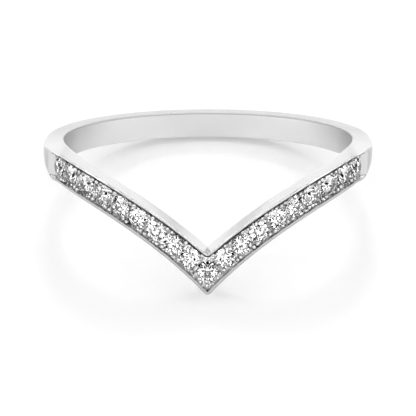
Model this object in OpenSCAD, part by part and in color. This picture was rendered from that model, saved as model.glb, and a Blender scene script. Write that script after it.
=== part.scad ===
// Chevron ring: a V-shaped band with a row of small round stones set along the V.
// It is drawn with the finger axis along Z and the V pointing to -Y, and then laid down
// as it rests by itself, on the point of the V and on the lower edge of the back.

/* [Ring size] */
// Inside diameter, which sets the finger size
finger_d = 16.5; // [16:0.1:17.1]
// Thickness of the wall at the two sides
side_wall = 1.07; // [1:0.01:1.3]
// How much thicker the wall is at the back than at the sides
back_extra = 0.50; // [0.3:0.05:0.6]
// How much thicker the wall is under the stones than at the sides
front_extra = 0.70; // [0.6:0.05:0.9]
// Width of the band from edge to edge, the same all the way round
band_w = 1.56; // [1.54:0.01:1.7]

/* [V shape] */
// Radius of the long arc of each arm, which sets how deep the V is
arm_r = 19; // [17:0.5:22]
// Radius of the bend that levels the arms out into the sides
side_bend_r = 2.5; // [2:0.1:3]
// Rounding of the lower end of the point
point_r = 0.20; // [0.15:0.01:0.3]

/* [Stones] */
// Diameter of each round stone
stone_d = 1.05; // [0.95:0.01:1.06]
// Distance between the stones next to the point
stone_pitch = 1.125; // [1.11:0.005:1.13]
// Spread of the stones up the arms: each distance grows by this times its number squared
pitch_growth = 0.0052; // [0.003:0.0002:0.0056]
// Distance from the upper edge of the band to the row of stones
row_off = 0.75; // [0.73:0.01:0.77]
// How far the stone at the point sits above the meeting of the two rows
point_stone_lift = 0.18; // [0.16:0.01:0.22]

/* [Setting] */
// Metal left above the channel that holds the stones
rim_top = 0.10; // [0.08:0.01:0.11]
// Metal left below the channel
rim_bottom = 0.15; // [0.12:0.01:0.16]
// Depth of the channel below the outer face
channel_depth = 0.15; // [0.12:0.01:0.17]
// Length of the scooped run-out at each end of the channel
run_out = 0.65; // [0.5:0.05:0.8]
// Depth of the widest line of each stone below the outer face
girdle_depth = 0.19; // [0.18:0.01:0.22]
// Gap between a stone and its seat
seat_gap = 0.015; // [0.012:0.001:0.018]
// Diameter of the hole drilled behind each stone
drill_d = 0.44; // [0.4:0.01:0.5]
// Radius of the grains of metal raised between the stones
grain_r = 0.085; // [0.07:0.005:0.09]

/* [Edges] */
// Radius of the crown across the outer wall at the two sides, which softens its edges
side_crown_r = 2.2; // [1.8:0.1:3]
// Distance from the upper edge of the band to the widest line of the crown
crown_off = 0.50; // [0.4:0.05:0.8]
// Bevel on the outer edges of the back
outer_bevel = 0.20; // [0.1:0.01:0.25]
// Bevel on the inner edges of the back
inner_bevel = 0.10; // [0.06:0.01:0.12]
// How far the small flat that the back rests on reaches in from its bevel
rest_flat = 0.15; // [0.1:0.01:0.2]

/* [Hidden] */
arm_stones = 9;
function stone_name(i) = str("stone_", i < 0 ? "left_" : i > 0 ? "right_" : "point", i == 0 ? "" : abs(i));

bore_r = finger_d / 2;
outer_r = bore_r + side_wall;
back_y = back_extra + outer_r;
front_y = front_extra + outer_r;
reach = outer_r + 3;              // past the band on every side
far = 50;                         // past the whole of the largest arc
past = 1;                         // how far a cut runs on past what it cuts, mm or degrees
bevel_start = 0.02;               // lets a bevel fade out beside the widest place
cone_h = 2;                       // height of the cones that cut the bevels
metal = "silver";
stone_tint = "white";

// The upper edge of the band in front view: an arc of arm_r up each arm, and then a bend
// of side_bend_r that ends level at the bore wall. The two arcs join where the slope has
// the sine and cosine of the 7-24-25 triangle, which keeps the joint on round numbers.
side_sin = 7 / 25;
side_cos = 24 / 25;
side_slope = asin(side_sin);
bend_at = [bore_r, -side_bend_r];
arm_at = bend_at + (arm_r - side_bend_r) * [side_sin, -side_cos];

// A point of the edge moved inwards by off, where the edge has the given slope
function edge_point(slope, off) = slope > side_slope
    ? arm_at + (arm_r - off) * [-sin(slope), cos(slope)]
    : bend_at + (side_bend_r - off) * [-sin(slope), cos(slope)];

// The slope at which that edge reaches the middle of the ring
function middle_slope(off) = asin(arm_at.x / (arm_r - off));

// The bottom vertex of the V and the centre of its rounding
low_slope = middle_slope(band_w);
low_z = edge_point(low_slope, band_w).y;
point_z = low_z + point_r * (1 / cos(low_slope) - 1);

// Seats of the stones: each is found along the row at its own distance from the one before
function row_point(slope) = let (p = edge_point(slope, row_off))
    [p.x, -front_extra - sqrt(outer_r * outer_r - p.x * p.x), p.y];
function pitch(k) = stone_pitch + pitch_growth * (k - 1) * (k - 1);
function slope_at(from, distance, low, high, tries = 24) = let (mid = (low + high) / 2)
    tries == 0 ? mid
    : norm(row_point(mid) - from) > distance ? slope_at(from, distance, mid, high, tries - 1)
    : slope_at(from, distance, low, mid, tries - 1);
point_seat = row_point(middle_slope(row_off)) + [0, 0, point_stone_lift];
function row_slopes(k, from, high) = k > arm_stones ? []
    : let (s = slope_at(from, pitch(k), 0, high)) concat([s], row_slopes(k + 1, row_point(s), s));
slopes = row_slopes(1, point_seat, middle_slope(row_off));
function seat(i) = i == 0 ? point_seat
    : let (p = row_point(slopes[abs(i) - 1])) [sign(i) * p.x, p.y, p.z];
function turn(p) = asin(p.x / outer_r);

// Proportions of a round brilliant, as shares of its diameter
table_share = 0.57;
crown_share = 0.15;
girdle_share = 0.03;
pavilion_share = 0.43;
star_share = 0.50;                // how far the star facets reach from the table to the girdle
lower_share = 0.78;               // how far the lower halves reach from the girdle to the point
stone_spin = 11;                  // each stone is turned a little more than the one before

// How the finished ring lies: front raised until the inner end of the point and the flat
// on the lower edge of the back both touch the floor
tilt = atan((-band_w - point_z) / (back_y - outer_bevel - rest_flat + bore_r));
function lie_y(y, z) = y * cos(tilt) + z * sin(tilt);
function lie_z(y, z) = -y * sin(tilt) + z * cos(tilt);
floor_z = lie_z(-bore_r, point_z);
middle_y = (lie_y(-front_y, point_z) + lie_y(back_y, -outer_bevel)) / 2;

module lie_down() translate([0, -middle_y, -floor_z]) rotate([-tilt, 0, 0]) children();

// A wedge of a ring between two radii, from one direction to another
module ring_wedge(inner, outer, from, to) intersection() {
    difference() {
        circle(r = outer, $fn = 240);
        circle(r = inner, $fn = 240);
    }
    polygon(far * [[0, 0], from, to]);
}

// The right half of the V strip between two moved edges, in front view
module half_strip(off_a, off_b) {
    joint = [-side_sin, side_cos];
    middle = middle_slope(off_b) + past;
    intersection() {
        translate(arm_at)
            ring_wedge(arm_r - off_b, arm_r - off_a, joint, [-sin(middle), cos(middle)]);
        translate([0, -reach]) square([reach, 2 * reach]);
    }
    translate(bend_at) ring_wedge(side_bend_r - off_b, side_bend_r - off_a, [0, 1], joint);
    translate([bore_r, -off_b]) square([reach - bore_r, off_b - off_a]);
}

// A V-shaped bar along Y between two moved edges, from the front to y_end
module v_bar(off_a, off_b, y_end = 0)
    translate([0, y_end, 0]) rotate([90, 0, 0]) linear_extrude(height = reach + y_end) {
        half_strip(off_a, off_b);
        mirror([1, 0]) half_strip(off_a, off_b);
    }

// The front half before the setting is cut: the V bar inside the outer wall
module front_half() intersection() {
    v_bar(0, band_w);
    union() {
        translate([0, -front_extra, -reach]) intersection() {
            cylinder(r = outer_r, h = reach + 1, $fn = 180);
            translate([-reach, -2 * reach, 0]) cube([2 * reach, 2 * reach, reach + 1]);
        }
        translate([-outer_r, -front_extra, -reach]) cube([2 * outer_r, front_extra, reach + 1]);
    }
    point_round();
}

// Everything above the rounded lower end of the point
module point_round() {
    round_z = low_z + point_r / cos(low_slope);
    side_x = point_r * sin(low_slope);
    side_z = round_z - point_r * cos(low_slope);
    translate([-reach, -2 * reach, side_z]) cube([2 * reach, 2 * reach, reach]);
    translate([0, 0, round_z]) rotate([90, 0, 0]) cylinder(r = point_r, h = 2 * reach, $fn = 48);
}

// The back half, its outer edges bevelled by two cones that fade out at the sides
module back_half() intersection() {
    wide_r = outer_r + bevel_start;
    cone_y = back_extra - outer_bevel - bevel_start;
    translate([0, 0, -band_w]) union() {
        translate([0, back_extra, 0]) intersection() {
            cylinder(r = outer_r, h = band_w, $fn = 180);
            translate([-reach, 0, 0]) cube([2 * reach, reach, band_w]);
        }
        translate([-outer_r, 0, 0]) cube([2 * outer_r, back_extra, band_w]);
    }
    translate([0, cone_y, -band_w]) cylinder(r1 = wide_r, r2 = wide_r + cone_h, h = cone_h, $fn = 180);
    translate([0, cone_y, -cone_h]) cylinder(r1 = wide_r + cone_h, r2 = wide_r, h = cone_h, $fn = 180);
}

// The whole height of the ring in its middle, and at the two sides a crowned outer wall
module side_crown() rotate([90, 0, 0]) translate([0, 0, -reach]) linear_extrude(height = 2 * reach) {
    middle_x = outer_r - side_crown_r / 2;
    translate([-middle_x, -reach]) square([2 * middle_x, reach + past]);
    for (side = [-1, 1]) translate([side * (outer_r - side_crown_r), -crown_off])
        circle(r = side_crown_r, $fn = 180);
}

// The finger hole, with its bevels at the back
module finger_hole() {
    wide_r = bore_r - bevel_start;
    translate([0, 0, -reach]) cylinder(r = bore_r, h = 2 * reach, $fn = 180);
    translate([0, inner_bevel + bevel_start, 0]) {
        translate([0, 0, -cone_h]) cylinder(r1 = wide_r - cone_h, r2 = wide_r, h = cone_h, $fn = 180);
        translate([0, 0, -band_w]) cylinder(r1 = wide_r, r2 = wide_r - cone_h, h = cone_h, $fn = 180);
    }
}

// The channel: a shallow V-shaped recess that ends in a scoop just past the last stones
end_turn = turn(seat(arm_stones)) + asin((stone_d / 2 + seat_gap) / outer_r) + past;
end_y = -front_extra - outer_r * cos(end_turn);
scoop_depth = channel_depth + 0.01;
scoop_r = 1 / (2 * scoop_depth / (run_out * run_out) - 1 / outer_r);
module channel() {
    difference() {
        v_bar(rim_top, band_w - rim_bottom, end_y);
        translate([0, -front_extra, -reach])
            cylinder(r = outer_r - channel_depth, h = 2 * reach, $fn = 180);
    }
    for (side = [-1, 1]) intersection() {
        v_bar(rim_top, band_w - rim_bottom);
        translate([0, -front_extra, -reach])
            rotate([0, 0, side * end_turn - 90])
                translate([outer_r - scoop_depth + scoop_r, 0, 0])
                    cylinder(r = scoop_r, h = 2 * reach, $fn = 96);
    }
}

// Puts a child, drawn about Z, square on the outer face at a point of the row
module on_face(p, sink) translate(p) rotate([90, 0, turn(p)]) translate([0, 0, -sink]) children();

// A drilled seat: the pocket for the widest line, the cone under it and the hole behind
module drilled_seat(i) on_face(seat(i), girdle_depth) {
    pocket_r = stone_d / 2 + seat_gap;
    drill_r = drill_d / 2;
    ledge = stone_d * girdle_share / 2 + seat_gap;
    taper_h = (pocket_r - drill_r) * pavilion_share * 2;
    wall = front_y - bore_r;
    translate([0, 0, -ledge]) cylinder(r = pocket_r, h = past, $fn = 48);
    translate([0, 0, -ledge - taper_h]) cylinder(r1 = drill_r, r2 = pocket_r, h = taper_h, $fn = 48);
    translate([0, 0, -wall - past]) cylinder(r = drill_r, h = wall + past - ledge, $fn = 48);
}

// A place on the outer face as its distance round the front arc and its height
function unrolled(p) = [outer_r * turn(p) * PI / 180, p.z];
function rolled(q) = let (x = outer_r * sin(q.x / outer_r * 180 / PI))
    [x, -front_extra - sqrt(outer_r * outer_r - x * x), q.y];

// Grains of metal: two above and two below each gap between stones, and one under the
// stone at the point, where the upper side has room for one on each arm
grain_side = 0.50;                // from the line of the stones to the grains
grain_split = 0.12;               // from the middle of the gap to each grain
point_grain_drop = 0.78;          // from the middle of the stone at the point to its grain
grain_h = 0.10;                   // from the channel's floor to the top of a grain
grain_taper = 0.3;                // share of its radius that a grain gains or loses in that height
module grain(q) on_face(rolled(q), channel_depth + grain_h)
    cylinder(r1 = grain_r * (1 + grain_taper), r2 = grain_r * (1 - grain_taper), h = 2 * grain_h, $fn = 16);
module grains() {
    for (side = [-1, 1], k = [0:arm_stones - 1], up = [-1, 1], along = [-1, 1]) {
        a = unrolled(seat(k));
        b = unrolled(seat(k + 1));
        t = (b - a) / norm(b - a);
        q = (a + b) / 2 + t * along * grain_split + [-t.y, t.x] * up * grain_side;
        if (k > 0 || up < 0 || along > 0) grain([side * q.x, q.y]);
    }
    grain([0, seat(0).z - point_grain_drop]);
}

module band() color(metal) difference() {
    lie_down() union() {
        difference() {
            intersection() {
                union() {
                    front_half();
                    back_half();
                }
                side_crown();
            }
            finger_hole();
            channel();
            for (i = [-arm_stones:arm_stones]) drilled_seat(i);
        }
        grains();
    }
    translate([-reach, 0, -past]) cube([2 * reach, 2 * reach, past]);
}

// A round brilliant: table, stars, kites and upper halves above the girdle, and lower
// halves and mains below it
module brilliant(d) {
    r = d / 2;
    table_r = r * table_share;
    top = d * crown_share;
    half = d * girdle_share / 2;
    deep = d * pavilion_share;
    star_r = table_r * cos(22.5) + (r - table_r * cos(22.5)) * star_share;
    star_z = half + top * (r - star_r * cos(22.5)) / (r - table_r);
    low_r = r * (1 - lower_share);
    lower_z = -half - deep * (1 - low_r * cos(22.5) / r);
    function ring(n, radius, z, start = 0) = [for (i = [0:n - 1])
        [radius * cos(start + 360 * i / n), radius * sin(start + 360 * i / n), z]];
    points = concat(
        ring(8, table_r, half + top), ring(8, star_r, star_z, 22.5), ring(16, r, half),
        ring(16, r, -half), ring(8, low_r, lower_z, 22.5), [[0, 0, -half - deep]]);
    function table(k) = (k + 8) % 8;
    function star(k) = 8 + (k + 8) % 8;
    function upper(j) = 16 + (j + 16) % 16;
    function under(j) = 32 + (j + 16) % 16;
    function lower(k) = 48 + (k + 8) % 8;
    faces = concat(
        [[for (k = [7:-1:0]) table(k)]],
        [for (k = [0:7]) [table(k + 1), star(k), table(k)]],
        [for (k = [0:7]) [star(k), upper(2 * k), star(k - 1), table(k)]],
        [for (k = [0:7], j = [2 * k, 2 * k + 1]) [upper(j + 1), upper(j), star(k)]],
        [for (j = [0:15]) [upper(j), upper(j + 1), under(j + 1), under(j)]],
        [for (k = [0:7], j = [2 * k, 2 * k + 1]) [lower(k), under(j), under(j + 1)]],
        [for (k = [0:7]) [56, lower(k - 1), under(2 * k), lower(k)]]);
    polyhedron(points, faces);
}

module stone(i) color(stone_tint) lie_down()
    on_face(seat(i), girdle_depth) rotate([0, 0, stone_spin * i]) brilliant(stone_d);

band();
for (i = [-arm_stones:arm_stones]) stone(i);
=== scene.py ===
import math
import random

import bmesh
import bpy
from mathutils import Matrix, Vector


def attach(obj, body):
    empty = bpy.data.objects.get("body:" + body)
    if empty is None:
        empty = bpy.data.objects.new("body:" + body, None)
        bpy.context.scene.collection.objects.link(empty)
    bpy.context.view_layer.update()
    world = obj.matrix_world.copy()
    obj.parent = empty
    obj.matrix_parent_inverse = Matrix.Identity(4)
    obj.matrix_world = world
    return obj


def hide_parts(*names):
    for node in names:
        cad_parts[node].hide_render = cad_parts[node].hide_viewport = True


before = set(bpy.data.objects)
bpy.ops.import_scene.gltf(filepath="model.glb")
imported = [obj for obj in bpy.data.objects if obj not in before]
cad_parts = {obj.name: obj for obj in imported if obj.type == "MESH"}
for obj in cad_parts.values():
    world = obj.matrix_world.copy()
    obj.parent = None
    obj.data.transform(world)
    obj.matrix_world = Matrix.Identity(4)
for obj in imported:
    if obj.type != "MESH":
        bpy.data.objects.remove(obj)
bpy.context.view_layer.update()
mm = 0.001
rad = math.radians

# ---- the band: sizes in millimetres, finger along Z, point of the V towards -Y
bandSize = {
    "boreR": 8.25,
    "sideWall": 1.07,
    "backExtra": 0.50,       # how much thicker the wall is at the back
    "frontExtra": 0.70,      # and under the stones
    "width": 1.56,
    "armR": 19.0,            # long arc of each arm
    "bendR": 2.5,            # bend from an arm into the side
    "pointR": 0.20,          # lower end of the point
    "notchR": 0.22,          # softening of the notch above the point, in the channel
    "notchSharp": 0.02,      # and along the upper edge
    "notchFrom": 0.5,        # share of the wall, from the bore, where the softer notch sets in
    "notchOver": 0.3,        # and over how much more of it
    "restBevel": 0.20,       # the bevel at the back of the solids
    "restFlat": 0.15,        # and the small flat inside it that they rest on
    "sideCrown": 4.0,        # radius of the crown across the outer wall
    "crownOff": 0.50,        # its widest line, below the upper edge
    "topEdge": 0.14,         # upper outer edge at the back and sides, softened by polishing
    "topCrisp": 0.035,       # and along the arms
    "lowEdge": 0.50,         # lower outer edge at the two sides, well rounded
    "lowBack": 0.40,         # and at the back
    "lowArms": 0.07,         # and along the arms
    "innerEdge": 0.09,       # inner edges at the back
    "innerCrisp": 0.03,      # inner edges along the arms
    "channelRim": 0.10,      # metal above the channel at the point
    "endRim": 0.05,          # and towards its ends
    "leastRim": 0.02,        # flat that is always left below the upper rounding
    "lowerRim": 0.15,
    "lowerShare": 0.55,      # least part of the lower rounding that the channel leaves
    "lowerLap": 0.92,        # where that rounding starts, as a share of the lower rim
    "channelDepth": 0.20,
    "channelSlant": 0.03,    # how far the cut walls lean in on their way down
    "runOut": 0.68,          # the scooped end of the channel
    "shadeShare": 0.6,       # how far into it the shaded line under the rim still goes
    "rimSpan": (20, 50),     # where the upper rim narrows, in degrees from the point
    "lowSpan": (61, 73),     # where the lower edge turns from crisp to round
    "crownSpan": (64, 80),   # where the outer wall turns from plain to crowned
    "innerSpan": (80, 130),  # where the inner edges soften
    "backSpan": (92, 132),   # where the lower edge turns into that of the back
    "lipFrom": 86,           # and from where the upper inner edge carries a painted dark line
    "crease": 22,            # turns sharper than this, in degrees, stay crisp
}
rowSize = {
    "stones": 9,           # up each arm, besides the one at the point
    "stoneD": 1.05,
    "pitch": 1.125,        # between the stones next to the point
    "growth": 0.0052,      # spread of the stones up the arms
    "rowOff": 0.75,        # from the upper edge to the row
    "pointLift": 0.18,     # of the stone at the point above the meeting of the two rows
    "girdleDepth": 0.19,   # of a stone's widest line below the outer face
    "seatGap": 0.006,      # round a stone's widest line
    "endGap": 1,           # degrees from the last pocket to the end of the full channel
    "ledge": 0.03,         # straight wall of the pocket below the girdle
    "pavilion": 0.86,      # slope of the seat under it
    "drillD": 0.44,
    "drillDepth": 2.9,     # through the whole wall
    "pocketTop": 0.9,      # of the cutter, well out of the metal
    "seatFlats": 40,       # of the mesh, round a pocket
    "grainR": 0.10,
    "grainDome": 0.75,     # height of a grain's round top, as a share of its radius
    "grainTaper": 0.98,    # of its sides, from the foot to the round top
    "grainFoot": 0.05,     # how far the foot goes into the channel's floor
    "grainFlats": 14,      # of the mesh, round a grain
    "grainAside": 0.50,    # from the line of the stones to the grains
    "grainSplit": 0.14,    # from the middle of a gap to each of its grains
    "pointGrain": 0.78,    # from the stone at the point down to its grain
    "grainVaries": 0.15,   # share by which the grains, raised by hand, differ in size
    "grainDrift": 0.035,   # and how far each lies off its place
    "grainCrease": 50,
    "seed": 5,
}

boreR = bandSize["boreR"]
outerR = boreR + bandSize["sideWall"]
frontExtra = bandSize["frontExtra"]
backExtra = bandSize["backExtra"]
width = bandSize["width"]
armR = bandSize["armR"]
bendR = bandSize["bendR"]
pointR = bandSize["pointR"]
joinSin, joinCos = 7 / 25, 24 / 25  # where the long arc of an arm meets its bend
armX = boreR + (armR - bendR) * joinSin
armZ = -bendR - (armR - bendR) * joinCos


# Slope at the middle of the ring of the upper edge moved inwards by off
def middleSlope(off):
    return math.asin(armX / (armR - off))


# Height of that edge in front view, with the notch above the point softened
def edgeHeight(x, off, notch):
    x = abs(x)
    r = armR - off
    if x >= boreR:
        return -off
    if x > armX - r * joinSin:
        return -bendR + math.sqrt(max((bendR - off) ** 2 - (boreR - x) ** 2, 0))
    z = armZ + math.sqrt(r * r - (armX - x) ** 2)
    slope = middleSlope(off)
    if off < width / 2:  # the notch gets a small round
        fill = notch + off
        if x < fill * math.sin(slope):
            vertex = armZ + math.sqrt(r * r - armX * armX)
            z = max(z, vertex + fill / math.cos(slope) - math.sqrt(fill * fill - x * x))
    else:  # and the point is rounded off
        ball = pointR - (width - off)
        middle = armZ + math.sqrt((armR - width + pointR) ** 2 - armX * armX)
        if ball > 0 and x < ball * math.sin(slope):
            z = max(z, middle - math.sqrt(ball * ball - x * x))
    return z


# How the ring lies: on the inner end of its point and on the lower edge of its back
lowSlope = middleSlope(width)
pointZ = armZ + (armR - width) * math.cos(lowSlope) + pointR * (1 / math.cos(lowSlope) - 1)
backY = outerR + backExtra
frontY = outerR + frontExtra
tilt = math.atan((-width - pointZ) / (backY - bandSize["restBevel"] - bandSize["restFlat"] + boreR))
floorZ = boreR * math.sin(tilt) + pointZ * math.cos(tilt)
middleY = (
    pointZ * math.sin(tilt) - frontY * math.cos(tilt)
    + backY * math.cos(tilt) - bandSize["restBevel"] * math.sin(tilt)
) / 2
lieDown = (
    Matrix.Scale(mm, 4)
    @ Matrix.Translation((0, -middleY, -floorZ))
    @ Matrix.Rotation(-tilt, 4, "X")
)


# Seats of the stones, each found along the row at its own distance from the one before
def rowPoint(slope):
    off = rowSize["rowOff"]
    if slope > math.asin(joinSin):
        x = armX - (armR - off) * math.sin(slope)
        z = armZ + (armR - off) * math.cos(slope)
    else:
        x = boreR - (bendR - off) * math.sin(slope)
        z = -bendR + (bendR - off) * math.cos(slope)
    return Vector((x, -frontExtra - math.sqrt(outerR * outerR - x * x), z))


def rowSeats():
    high = middleSlope(rowSize["rowOff"])
    seats = [rowPoint(high) + Vector((0, 0, rowSize["pointLift"]))]
    for k in range(1, rowSize["stones"] + 1):
        step = rowSize["pitch"] + rowSize["growth"] * (k - 1) ** 2
        low, top = 0, high
        for _ in range(24):
            middle = (low + top) / 2
            if (rowPoint(middle) - seats[-1]).length > step:
                low = middle
            else:
                top = middle
        high = (low + top) / 2
        seats.append(rowPoint(high))
    return seats


seats = rowSeats()


# How far the outer face has turned at a point of the row
def turnOf(p):
    return math.asin(p.x / outerR)


# Square on the outer face at a point of the row, sunk a little into it
def onFace(p, sink):
    return (
        Matrix.Translation(p)
        @ Matrix.Rotation(turnOf(p), 4, "Z")
        @ Matrix.Rotation(math.pi / 2, 4, "X")
        @ Matrix.Translation((0, 0, -sink))
    )


pocketR = rowSize["stoneD"] / 2 + rowSize["seatGap"]
endTurn = turnOf(seats[-1]) + math.asin(pocketR / outerR) + rad(rowSize["endGap"])


def ease(t):
    t = min(max(t, 0), 1)
    return t * t * (3 - 2 * t)


def mix(a, b, t):
    return a + (b - a) * t


# From nothing to one between the two angles of one of the band's spans
def fade(angle, span):
    start, stop = bandSize[span]
    return ease((abs(angle) - rad(start)) / rad(stop - start))


# Distance from the finger axis to the outer face, at an angle from the point of the V
def outerReach(angle):
    s, c = math.sin(angle), math.cos(angle)
    front = frontExtra * c + math.sqrt(outerR ** 2 - (frontExtra * s) ** 2)
    if front * c >= frontExtra:
        return front
    back = -backExtra * c + math.sqrt(outerR ** 2 - (backExtra * s) ** 2)
    if -back * c >= backExtra:
        return back
    return outerR / abs(s)


# Depth of the channel below the outer face, which runs out in a scoop at each end
def channelDepth(angle):
    reach = outerReach(angle)
    if reach * math.cos(angle) < frontExtra:
        return 0
    past = (math.asin(min(abs(reach * math.sin(angle)) / outerR, 1)) - endTurn) * outerR
    if past <= 0:
        return bandSize["channelDepth"]
    return bandSize["channelDepth"] * max(1 - (past / bandSize["runOut"]) ** 2, 0)


# Angle from the finger axis at which the outer face has turned by a given angle
def angleAtTurn(turn):
    return math.atan2(outerR * math.sin(turn), frontExtra + outerR * math.cos(turn))


channelStop = angleAtTurn(endTurn)
channelGone = angleAtTurn(endTurn + bandSize["runOut"] / outerR)
shadeStop = channelStop + (channelGone - channelStop) * bandSize["shadeShare"]


# How far the crowned outer wall lies inside the plain one, at a depth below its edge
def crownDrop(angle, off):
    r = bandSize["sideCrown"]
    return (r - math.sqrt(r * r - (off - bandSize["crownOff"]) ** 2)) * fade(angle, "crownSpan")


# Upper and lower roundings of the outer wall
def outerEdges(angle):
    pastChannel = ease((abs(angle) - channelGone) / (rad(90) - channelGone))
    top = mix(bandSize["topCrisp"], bandSize["topEdge"], pastChannel)
    low = mix(bandSize["lowArms"], bandSize["lowEdge"], fade(angle, "lowSpan"))
    low = mix(low, bandSize["lowBack"], fade(angle, "backSpan"))
    return top, low


# The finishes of the band's faces, in the order of bandFinishes further down
polishedFace, cutShadeFace, boreFace, seatAndShadeFace, edgeShadeFace, wallShadeFace, endFace, rimShadeFace, topFace = range(9)
bendSteps, faceSteps, floorSteps, boreSteps = 8, 7, 12, 10  # of the mesh, across each part of a cut


# One cut through the band, from the top of the bore over the outside and back. Each
# entry is a distance from the finger axis, a distance below the upper edge and the
# finish of the face that follows: first where there is a channel, and then past it.
def bandCut(angle):
    reach = outerReach(angle)
    level = reach - crownDrop(angle, 0)
    depth = channelDepth(angle)
    top, low = outerEdges(angle)
    inner = mix(bandSize["innerCrisp"], bandSize["innerEdge"], fade(angle, "innerSpan"))
    rim = mix(bandSize["channelRim"], bandSize["endRim"], fade(angle, "rimSpan"))
    rimTop = max(rim, top + bandSize["leastRim"])
    rimLow = max(bandSize["lowerRim"], low * bandSize["lowerShare"])
    slant = bandSize["channelSlant"]
    full = abs(angle) < channelStop  # short of the scooped ends
    # painted shade: a dark line on the upper inner edge round the back
    lip = edgeShadeFace if abs(angle) > rad(bandSize["lipFrom"]) else polishedFace
    bends = [rad(90 * i / bendSteps) for i in range(bendSteps + 1)]

    def inward(off):  # of the outer face, from both roundings
        up = max(top - off, 0)
        down = max(low - (width - off), 0)
        return top - math.sqrt(top * top - up * up) + low - math.sqrt(low * low - down * down)

    cut = []
    for a in reversed(bends):  # upper inner rounding
        finish = lip if a > 0 else topFace
        cut.append((boreR + inner * (1 - math.sin(a)), inner * (1 - math.cos(a)), finish, finish))
    for i in range(1, faceSteps):
        cut.append((mix(boreR + inner, level - top, i / faceSteps), 0, topFace, topFace))

    outside = []
    for a in bends:  # upper outer rounding
        finishes = (polishedFace, topFace) if a < bends[-1] else (rimShadeFace, wallShadeFace)
        outside.append((top * (1 - math.sin(a)), top * (1 - math.cos(a)), *finishes))
    # painted shade: the channel's floor takes the greyer bright-cut finish
    floorFinish = cutShadeFace if full else endFace
    outside.append((inward(rimTop), rimTop, floorFinish, wallShadeFace))
    for i in range(floorSteps + 1):  # the channel's floor, its first strip in the rim's shade
        off = mix(rimTop + slant, width - rimLow - slant, i / floorSteps)
        finish = floorFinish
        if i == 0:
            # painted shade: the first strip under the rim takes the dark seat finish
            finish = seatAndShadeFace if abs(angle) < shadeStop else endFace
        elif i == floorSteps:
            finish = rimShadeFace
        outside.append((max(depth, inward(off)), off, finish, wallShadeFace))
    outside.append((inward(width - rimLow), width - rimLow, rimShadeFace, wallShadeFace))
    start = math.acos(1 - min(rimLow * bandSize["lowerLap"] / low, 1))
    for i in range(bendSteps + 1):  # lower outer rounding
        a = start * (1 - i / bendSteps)
        # painted shade: a grey line on the lower rounding along the channel
        finish = edgeShadeFace if full and i > 0 else rimShadeFace
        past = wallShadeFace if i < bendSteps else polishedFace
        outside.append((low * (1 - math.sin(a)), width - low * (1 - math.cos(a)), finish, past))
    for sunk, off, *finishes in outside:
        cut.append((reach - crownDrop(angle, off) - sunk, off, *finishes))

    for i in range(faceSteps - 1, 0, -1):
        cut.append((mix(boreR + inner, level - low, i / faceSteps), width, polishedFace, polishedFace))
    for a in bends:  # lower inner rounding
        finish = polishedFace if a < bends[-1] else boreFace
        cut.append((boreR + inner * (1 - math.sin(a)), width - inner * (1 - math.cos(a)), finish, finish))
    for i in range(boreSteps - 1, 0, -1):
        cut.append((boreR, mix(inner, width - inner, i / boreSteps), boreFace, boreFace))
    return reach, cut


# Where the band is cut, in degrees from the point of the V: closest at the point, close
# along the arms and past the channel, and wider round the back
def cutAngles():
    half = [0, 0.12, 0.25, 0.4, 0.55, 0.7, 0.85, 1.0, 1.2, 1.5]
    half += [2 + 0.5 * i for i in range(120)]
    half += [62 + 0.25 * i for i in range(24)]
    half += [68 + i for i in range(22)]
    half += [90 + i for i in range(90)]
    closest = 0.12
    for exact in (math.degrees(channelStop), math.degrees(channelGone)):
        half = [a for a in half if abs(a - exact) > closest] + [exact]
    half = sorted(half)
    return [rad(a) for a in half] + [rad(-a) for a in reversed(half) if a > 0]


def meshObject(name, bm, materials):
    mesh = bpy.data.meshes.new(name)
    bm.to_mesh(mesh)
    bm.free()
    for material in materials:
        mesh.materials.append(material)
    obj = bpy.data.objects.new(name, mesh)
    bpy.context.scene.collection.objects.link(obj)
    return obj


def softenShading(obj, degrees):
    obj.data.shade_smooth()
    obj.data.set_sharp_from_angle(angle=rad(degrees))


def buildBand(materials):
    bm = bmesh.new()
    rings, finishes, channelled = [], [], []
    for angle in cutAngles():
        reach, cut = bandCut(angle)
        ring = []
        for distance, off, *_ in cut:
            x = distance * math.sin(angle)
            y = -distance * math.cos(angle)
            # the notch is soft in the outer part of the wall only, below its upper edge
            across = (distance - boreR) / (reach - boreR)
            softer = ease((across - bandSize["notchFrom"]) / bandSize["notchOver"])
            softer *= ease(off / bandSize["channelRim"])
            notch = mix(bandSize["notchSharp"], bandSize["notchR"], softer)
            z = edgeHeight(x, off, notch) if y < 0 else -off
            ring.append(bm.verts.new(lieDown @ Vector((x, y, z))))
        rings.append(ring)
        finishes.append([entry[2:] for entry in cut])
        channelled.append(channelDepth(angle) > 0)
    for i, ring in enumerate(rings):
        following = (i + 1) % len(rings)
        ahead = rings[following]
        past = 0 if channelled[i] or channelled[following] else 1
        for j in range(len(ring)):
            k = (j + 1) % len(ring)
            face = bm.faces.new((ring[j], ring[k], ahead[k], ahead[j]))
            face.material_index = finishes[i][j][past]
    bmesh.ops.recalc_face_normals(bm, faces=bm.faces)
    return meshObject("chevronBand", bm, materials)


# A lathe-turned form about its own Z, closed at both ends
def turned(bm, place, profile, sides, finish=0):
    rings = []
    for r, z in profile:
        rings.append([
            bm.verts.new(lieDown @ place @ Vector((
                r * math.cos(2 * math.pi * i / sides), r * math.sin(2 * math.pi * i / sides), z)))
            for i in range(sides)
        ])
    faces = []
    for a, b in zip(rings, rings[1:]):
        for i in range(sides):
            k = (i + 1) % sides
            faces.append(bm.faces.new((a[i], a[k], b[k], b[i])))
    faces.append(bm.faces.new(list(reversed(rings[0]))))
    faces.append(bm.faces.new(rings[-1]))
    for face in faces:
        face.material_index = finish


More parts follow.
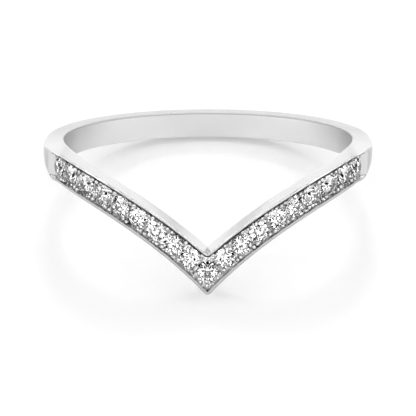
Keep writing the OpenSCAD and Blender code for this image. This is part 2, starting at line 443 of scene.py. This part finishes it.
# What the seats are cut with: the pocket, the taper under it and the drilled hole
def seatCutters(materials):
    bm = bmesh.new()
    drillR = rowSize["drillD"] / 2
    ledge = rowSize["ledge"]
    taper = (pocketR - drillR) * rowSize["pavilion"]
    profile = [
        (drillR, -rowSize["drillDepth"]), (drillR, -ledge - taper),
        (pocketR, -ledge), (pocketR, rowSize["pocketTop"]),
    ]
    for i, seat in enumerate(seats):
        for side in ((1,) if i == 0 else (1, -1)):
            p = Vector((seat.x * side, seat.y, seat.z))
            # the pockets take the dark seat finish of painted shade
            turned(bm, onFace(p, rowSize["girdleDepth"]), profile, rowSize["seatFlats"], seatAndShadeFace)
    bmesh.ops.recalc_face_normals(bm, faces=bm.faces)
    return meshObject("seatCutters", bm, materials)


def cutSeats(band, cutters):
    change = band.modifiers.new("seats", "BOOLEAN")
    change.operation = "DIFFERENCE"
    change.solver = "EXACT"
    change.object = cutters
    bpy.context.view_layer.update()
    shaped = band.evaluated_get(bpy.context.evaluated_depsgraph_get())
    done = bpy.data.meshes.new_from_object(shaped)
    band.modifiers.remove(change)
    band.data = done
    bpy.data.objects.remove(cutters)


# Grains of metal raised from the channel's floor and pushed against the stones: two above
# and two below each gap, one fewer in the narrow places above the point, and one under
# the stone at the point
def buildGrains(materials):
    bm = bmesh.new()
    base = bandSize["channelDepth"] + rowSize["grainFoot"]
    dice = random.Random(rowSize["seed"])

    def grain(around, z):
        r = rowSize["grainR"] * (1 + dice.uniform(-1, 1) * rowSize["grainVaries"])
        around += dice.uniform(-1, 1) * rowSize["grainDrift"]
        z += dice.uniform(-1, 1) * rowSize["grainDrift"]
        dome = r * rowSize["grainDome"]
        profile = [(r, 0), (r * rowSize["grainTaper"], base - dome)]
        for a in (25, 45, 62, 78):  # degrees up the round top
            profile.append((r * math.cos(rad(a)), base - dome + dome * math.sin(rad(a))))
        x = outerR * math.sin(around / outerR)
        y = -frontExtra - math.sqrt(outerR * outerR - x * x)
        turned(bm, onFace(Vector((x, y, z)), base), profile, rowSize["grainFlats"])

    flat = [Vector((outerR * turnOf(s), s.z)) for s in seats]
    for side in (1, -1):
        for k in range(rowSize["stones"]):
            a, b = flat[k], flat[k + 1]
            along = (b - a).normalized()
            across = Vector((-along.y, along.x))
            for up in (1, -1):
                for way in (1, -1):
                    if k > 0 or up < 0 or way > 0:
                        p = (a + b) / 2 + along * way * rowSize["grainSplit"]
                        p += across * up * rowSize["grainAside"]
                        grain(side * p.x, p.y)
    grain(0, seats[0].z - rowSize["pointGrain"])
    bmesh.ops.recalc_face_normals(bm, faces=bm.faces)
    return meshObject("settingGrains", bm, materials)


# ---- materials
def linear(hexColour):
    parts = [int(hexColour[i:i + 2], 16) / 255 for i in (1, 3, 5)]
    return [c / 12.92 if c <= 0.04045 else ((c + 0.055) / 1.055) ** 2.4 for c in parts] + [1]


def addNode(tree, kind, settings=None, links=None):
    node = tree.nodes.new(kind)
    for name, value in (settings or {}).items():
        if isinstance(name, int) or name in node.inputs:
            node.inputs[name].default_value = value
        else:
            setattr(node, name, value)
    for name, source in (links or {}).items():
        tree.links.new(source, node.inputs[name])
    return node


def newMaterial(name):
    material = bpy.data.materials.new(name)
    material.use_nodes = True
    material.node_tree.nodes.clear()
    return material, material.node_tree


silverLook = {
    "colour": "#E2E2E2",
    "roughness": 0.10,
    "spread": 0.05,        # how far the cloudy patches change the roughness
    "cloudMm": 1.6,        # size of the patches where the buff dwelt longer
    "lineMm": 0.05,        # width of the polishing lines: real ones are finer and wouldn't show
    "lineStretch": 6,      # how much longer they are than wide
    "lineDepth": 0.04,
    "lineHeightMm": 0.01,
    "edgeTint": 1.0,       # how much of its grazing reflection the finish keeps
    "facetMm": 0.09,       # width of the graver's cuts, where it has been used
    "facetTilt": 0.0,      # and how far each leans its own way
    "recess": "#6A6A6A",   # painted shade that darkens the corners
    "recessMm": 0.05,
    "cornerShadeFrom": 0.35,   # openness of a corner at which the painted shade is full
    "cornerShadeTo": 0.85,     # and at which there is none
    "backShadeFromMm": -1.5,    # where the painted shade at the back starts to come in,
    "backShadeToMm": 3.0,       # and where it is full
}

# Bore, brushed with a sanding roll: a soft sheen in place of reflections
boreLook = dict(silverLook, roughness=0.34, lineDepth=0.10, colour="#DCDCDC", edgeTint=0.6)
# Edges with a thin grey line of painted shade that parts two bright faces
edgeShadeLook = dict(silverLook, roughness=0.38, colour="#A6A6A6")
# Channel floor, bright-cut with a graver and greyed by painted shade in its recess: many small mirrors that
# glitter one by one
cutShadeLook = dict(
    silverLook, colour="#C0C0C0", roughness=0.12, lineMm=0.03,
    recess="#8A8A8A", recessMm=0.08, facetMm=0.07, facetTilt=1.0,
)
# Scooped ends of the channel, left by one sweep of the graver: nearly a plain mirror
endLook = dict(cutShadeLook, colour="#D6D6D6", edgeTint=0.85, facetTilt=0.12)
# Drilled seats and the corner under the upper rim, dark with painted shade:
# a dark ring round each stone and a dark line along the row
seatShadeLook = dict(cutShadeLook, colour="#3C3C3C", roughness=0.45, recess="#050505", facetTilt=0.0)
# Grains, burnished round with a beading tool: a bright dot on a foot darkened by painted shade
beadLook = dict(
    silverLook, colour="#D4D4D4", roughness=0.14,
    recess="#404040", recessMm=0.09, facetTilt=0.5,
)
# Outer wall past the channel, finished with a soft wheel: a grey of painted shade that holds no hard lines
wallShadeLook = dict(silverLook, colour="#C8C8C8", roughness=0.12, edgeTint=0.75)
# Rims of the channel, rubbed round by hand: soft grey lines of painted shade along both sides of the stones
rimShadeLook = dict(silverLook, colour="#C4C4C4", roughness=0.2, edgeTint=0.8, recess="#505050")
# Upper face, lapped flat: painted light makes it the brightest part along the arms, and painted shade a
# light grey at the back
topLitShadedLook = dict(silverLook, colour="#EAEAEA", roughness=0.17, backShadeColour="#CACACA")


# Silver worked in ten ways. Each gives the eye a mirror with cloudy patches and hair lines,
# clean in the open and greyed by painted shade in the corners.
def silver(name, look):
    material, tree = newMaterial(name)
    coords = addNode(tree, "ShaderNodeTexCoord")
    place = addNode(
        tree, "ShaderNodeMapping",
        {"Scale": (1, 1, look["lineStretch"])},
        {"Vector": coords.outputs["Object"]},
    )
    lines = addNode(
        tree, "ShaderNodeTexNoise",
        {"Scale": 1 / (look["lineMm"] * mm) / look["lineStretch"], "Detail": 3.0, "Roughness": 0.6},
        {"Vector": place.outputs["Vector"]},
    )
    cloud = addNode(
        tree, "ShaderNodeTexNoise",
        {"Scale": 1 / (look["cloudMm"] * mm), "Detail": 2.0},
        {"Vector": coords.outputs["Object"]},
    )
    gloss = addNode(
        tree, "ShaderNodeMapRange",
        {"To Min": look["roughness"] - look["spread"] / 2, "To Max": look["roughness"] + look["spread"]},
        {"Value": cloud.outputs["Fac"]},
    )
    cuts = addNode(
        tree, "ShaderNodeTexVoronoi",
        {"Scale": 1 / (look["facetMm"] * mm)},
        {"Vector": coords.outputs["Object"]},
    )
    centred = addNode(
        tree, "ShaderNodeVectorMath",
        {"operation": "SUBTRACT", 1: (0.5, 0.5, 0.5)},
        {0: cuts.outputs["Color"]},
    )
    leaning = addNode(
        tree, "ShaderNodeVectorMath",
        {"operation": "SCALE", "Scale": look["facetTilt"]},
        {0: centred.outputs["Vector"]},
    )
    facing = addNode(tree, "ShaderNodeNewGeometry")
    leant = addNode(
        tree, "ShaderNodeVectorMath",
        {"operation": "ADD"},
        {0: facing.outputs["Normal"], 1: leaning.outputs["Vector"]},
    )
    facet = addNode(
        tree, "ShaderNodeVectorMath",
        {"operation": "NORMALIZE"},
        {0: leant.outputs["Vector"]},
    )
    bump = addNode(
        tree, "ShaderNodeBump",
        {"Strength": look["lineDepth"], "Distance": look["lineHeightMm"] * mm},
        {"Height": lines.outputs["Fac"], "Normal": facet.outputs["Vector"]},
    )
    # painted shade: ambient occlusion darkens the colour in corners and recesses
    shadeOcclusion = addNode(
        tree, "ShaderNodeAmbientOcclusion",
        {"samples": 8, "Distance": look["recessMm"] * mm},
    )
    unshaded = addNode(
        tree, "ShaderNodeMapRange",
        {"From Min": look["cornerShadeFrom"], "From Max": look["cornerShadeTo"]},
        {"Value": shadeOcclusion.outputs["AO"]},
    )
    where = addNode(tree, "ShaderNodeSeparateXYZ", links={"Vector": coords.outputs["Object"]})
    # painted shade: the colour turns to a darker one towards the back of the ring
    backShade = addNode(
        tree, "ShaderNodeMapRange",
        {"From Min": look["backShadeFromMm"] * mm, "From Max": look["backShadeToMm"] * mm},
        {"Value": where.outputs["Y"]},
    )
    tone = addNode(
        tree, "ShaderNodeMixRGB",
        {"Color1": linear(look["colour"]), "Color2": linear(look.get("backShadeColour", look["colour"]))},
        {"Fac": backShade.outputs["Result"]},
    )
    colour = addNode(
        tree, "ShaderNodeMixRGB",
        {"Color1": linear(look["recess"])},
        {"Fac": unshaded.outputs["Result"], "Color2": tone.outputs["Color"]},
    )
    shader = addNode(
        tree, "ShaderNodeBsdfPrincipled",
        {"Metallic": 1.0, "Specular Tint": [look["edgeTint"]] * 3 + [1]},
        {
            "Base Color": colour.outputs["Color"],
            "Roughness": gloss.outputs["Result"],
            "Normal": bump.outputs["Normal"],
        },
    )
    addNode(tree, "ShaderNodeOutputMaterial", links={"Surface": shader.outputs["BSDF"]})
    return material


stoneLook = {
    "colour": "#F2F2F2",
    "ior": 2.2,
    "roughness": 0.0,
}


# Cut and polished cubic zirconia: clear all through, with flat facets that throw the
# surroundings back as a crowd of white and dark glints.
def cutStone(name):
    material, tree = newMaterial(name)
    shader = addNode(
        tree, "ShaderNodeBsdfPrincipled",
        {
            "Base Color": linear(stoneLook["colour"]),
            "Roughness": stoneLook["roughness"],
            "IOR": stoneLook["ior"],
            "Transmission Weight": 1.0,
        },
    )
    addNode(tree, "ShaderNodeOutputMaterial", links={"Surface": shader.outputs["BSDF"]})
    return material


floorLook = {
    "colour": "#C6C6C6",
    "roughness": 0.95,
    "sheen": 0.1,          # what is left of its mirror reflection
    "glowColour": "#FFFFFF",
    "glow": 0.30,
    "toothMm": 0.4,        # size of the fine unevenness of the sanded face
    "toothDepth": 0.02,
    "toothHeightMm": 0.02,
}


# Opal acrylic with a sanded face, lit from below: a light table, on which shadows stay faint
def opalFloor(name):
    material, tree = newMaterial(name)
    coords = addNode(tree, "ShaderNodeTexCoord")
    tooth = addNode(
        tree, "ShaderNodeTexNoise",
        {"Scale": 1 / (floorLook["toothMm"] * mm), "Detail": 2.0},
        {"Vector": coords.outputs["Object"]},
    )
    bump = addNode(
        tree, "ShaderNodeBump",
        {"Strength": floorLook["toothDepth"], "Distance": floorLook["toothHeightMm"] * mm},
        {"Height": tooth.outputs["Fac"]},
    )
    shader = addNode(
        tree, "ShaderNodeBsdfPrincipled",
        {
            "Base Color": linear(floorLook["colour"]),
            "Roughness": floorLook["roughness"],
            "Specular IOR Level": floorLook["sheen"],
            "Emission Color": linear(floorLook["glowColour"]),
            "Emission Strength": floorLook["glow"],
        },
        {"Normal": bump.outputs["Normal"]},
    )
    addNode(tree, "ShaderNodeOutputMaterial", links={"Surface": shader.outputs["BSDF"]})
    return material


bandFinishes = [
    silver("polishedSilver", silverLook),
    silver("brightCutShadedSilver", cutShadeLook),
    silver("brushedBoreSilver", boreLook),
    silver("drilledSeatShadedSilver", seatShadeLook),
    silver("paintedShadeEdgeSilver", edgeShadeLook),
    silver("shadedWallSilver", wallShadeLook),
    silver("scoopedEndSilver", endLook),
    silver("shadedRimSilver", rimShadeLook),
    silver("topLitShadedSilver", topLitShadedLook),
]
zirconia = cutStone("cutZirconia")
print("chevron ring: materials ready")

band = buildBand(bandFinishes)
cutSeats(band, seatCutters(bandFinishes))
softenShading(band, bandSize["crease"])
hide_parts("band")
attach(band, "root")
print("chevron ring: band with", len(band.data.polygons), "faces")

grains = buildGrains([silver("burnishedBeadSilver", beadLook)])
softenShading(grains, rowSize["grainCrease"])
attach(grains, "root")

for name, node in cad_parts.items():
    if name.startswith("stone"):
        for slot in node.material_slots:
            slot.material = zirconia
print("chevron ring: grains and stones set")

# ---- floor, light and camera
studio = {
    "floorSize": 3.0,
    "panelColour": "#FFFFFF",
    "panelBack": 2.4,      # brightness of the panels behind the ring
    "panelFront": 3.0,     # and behind and above the camera
    "frontShare": 0.9,     # of the way to the front and the back, where each is reached
    "sideGain": 1.75,      # how much brighter they get towards the two sides
    "sideShare": 0.3,      # of the way to the side, where that starts
    "columns": 28,         # panels in the cage all the way round
    "rows": 9,             # and from straight down to straight up
    "gapShare": 0.38,      # how much of each is the dark gap
    "gapSoft": 0.02,       # half the width of the blur at a panel's edge
    "backdrop": 1.0,       # what the camera itself sees beyond the table
    "keyElevation": 40,    # degrees, from behind the ring
    "keyAngle": 10,        # apparent width of the lamp, which sets how soft the shadow is
    "keyPower": 0.7,
}

bm = bmesh.new()
bmesh.ops.create_grid(bm, x_segments=8, y_segments=8, size=studio["floorSize"] / 2)
floor = meshObject("lightTable", bm, [opalFloor("opalAcrylic")])


# One where a panel is and nothing in the gap beside it, with a gap at each whole number
def panelMask(tree, along, count):
    scaled = addNode(tree, "ShaderNodeMath", {"operation": "MULTIPLY", 1: count}, {0: along})
    swing = addNode(tree, "ShaderNodeMath", {"operation": "PINGPONG", 1: 0.5}, {0: scaled.outputs["Value"]})
    edge = studio["gapShare"] / 2
    return addNode(
        tree, "ShaderNodeMapRange",
        {"From Min": edge - studio["gapSoft"], "From Max": edge + studio["gapSoft"]},
        {"Value": swing.outputs["Value"]},
    )


# A cage of narrow white panels with dark gaps between them, which the stones break up
def studioWorld():
    world = bpy.data.worlds.new("studio")
    bpy.context.scene.world = world
    world.use_nodes = True
    tree = world.node_tree
    tree.nodes.clear()
    coords = addNode(tree, "ShaderNodeTexCoord")
    parts = addNode(tree, "ShaderNodeSeparateXYZ", links={"Vector": coords.outputs["Generated"]})
    panels = addNode(
        tree, "ShaderNodeMapRange",
        {
            "From Min": -studio["frontShare"], "From Max": studio["frontShare"],
            "To Min": studio["panelFront"], "To Max": studio["panelBack"],
        },
        {"Value": parts.outputs["Y"]},
    )
    across = addNode(tree, "ShaderNodeMath", {"operation": "ABSOLUTE"}, {"Value": parts.outputs["X"]})
    sides = addNode(
        tree, "ShaderNodeMapRange",
        {"From Min": studio["sideShare"], "From Max": 1.0, "To Min": 1.0, "To Max": studio["sideGain"]},
        {"Value": across.outputs["Value"]},
    )
    lit = addNode(
        tree, "ShaderNodeMath", {"operation": "MULTIPLY"},
        {0: panels.outputs["Result"], 1: sides.outputs["Result"]},
    )
    around = addNode(
        tree, "ShaderNodeTexGradient", {"gradient_type": "RADIAL"}, {"Vector": coords.outputs["Generated"]},
    )
    columns = panelMask(tree, around.outputs["Fac"], studio["columns"])
    height = addNode(tree, "ShaderNodeMath", {"operation": "ARCSINE"}, {0: parts.outputs["Z"]})
    rows = panelMask(tree, height.outputs["Value"], studio["rows"] / math.pi)
    both = addNode(
        tree, "ShaderNodeMath", {"operation": "MINIMUM"},
        {0: columns.outputs["Result"], 1: rows.outputs["Result"]},
    )
    strips = addNode(
        tree, "ShaderNodeMath", {"operation": "MULTIPLY"},
        {0: both.outputs["Value"], 1: lit.outputs["Value"]},
    )
    seen = addNode(tree, "ShaderNodeLightPath")
    blend = addNode(
        tree, "ShaderNodeMix",
        {"data_type": "FLOAT", "B": studio["backdrop"]},
        {"Factor": seen.outputs["Is Camera Ray"], "A": strips.outputs["Value"]},
    )
    sky = addNode(
        tree, "ShaderNodeBackground",
        {"Color": linear(studio["panelColour"])},
        {"Strength": blend.outputs["Result"]},
    )
    addNode(tree, "ShaderNodeOutputWorld", links={"Surface": sky.outputs["Background"]})


def keyLight():
    lamp = bpy.data.lights.new("keyLamp", "SUN")
    lamp.energy = studio["keyPower"]
    lamp.angle = rad(studio["keyAngle"])
    obj = bpy.data.objects.new("keyLamp", lamp)
    lift = rad(studio["keyElevation"])
    obj.rotation_euler = Vector((0, math.cos(lift), math.sin(lift))).to_track_quat("Z", "Y").to_euler()
    bpy.context.scene.collection.objects.link(obj)


studioWorld()
keyLight()

# In millimetres and degrees, in the frame in which the band was drawn
cameraFit = {
    "elevation": 13.21,
    "azimuth": 0.15,       # the camera stood a little to the right
    "distance": 84.0,
    "aimedBelow": 4.097,   # the middle of the upper edge, which lies on the finger axis
    "pixelsPerMm": 17.419,
    "photoWidth": 416,
    "sensorMm": 36,
}


def addCamera():
    e = rad(cameraFit["elevation"])
    a = rad(cameraFit["azimuth"])
    forward = Vector((-math.sin(a) * math.cos(e), math.cos(a) * math.cos(e), -math.sin(e)))
    right = Vector((math.cos(a), math.sin(a), 0))
    up = right.cross(forward)
    at = -forward * cameraFit["distance"] - up * cameraFit["aimedBelow"]
    lay = lieDown.to_3x3().normalized()
    turn = Matrix((lay @ right, lay @ up, -(lay @ forward))).transposed()
    camera = bpy.data.cameras.new("productCamera")
    camera.sensor_width = cameraFit["sensorMm"]
    camera.lens = (
        cameraFit["sensorMm"] * cameraFit["pixelsPerMm"] * cameraFit["distance"] / cameraFit["photoWidth"]
    )
    camera.clip_start = 0.001
    camera.clip_end = 10
    obj = bpy.data.objects.new("productCamera", camera)
    obj.matrix_world = Matrix.Translation(lieDown @ at) @ turn.to_4x4()
    bpy.context.scene.collection.objects.link(obj)
    bpy.context.scene.camera = obj


addCamera()
bpy.context.scene.view_settings.view_transform = "Standard"
print("chevron ring: studio ready")
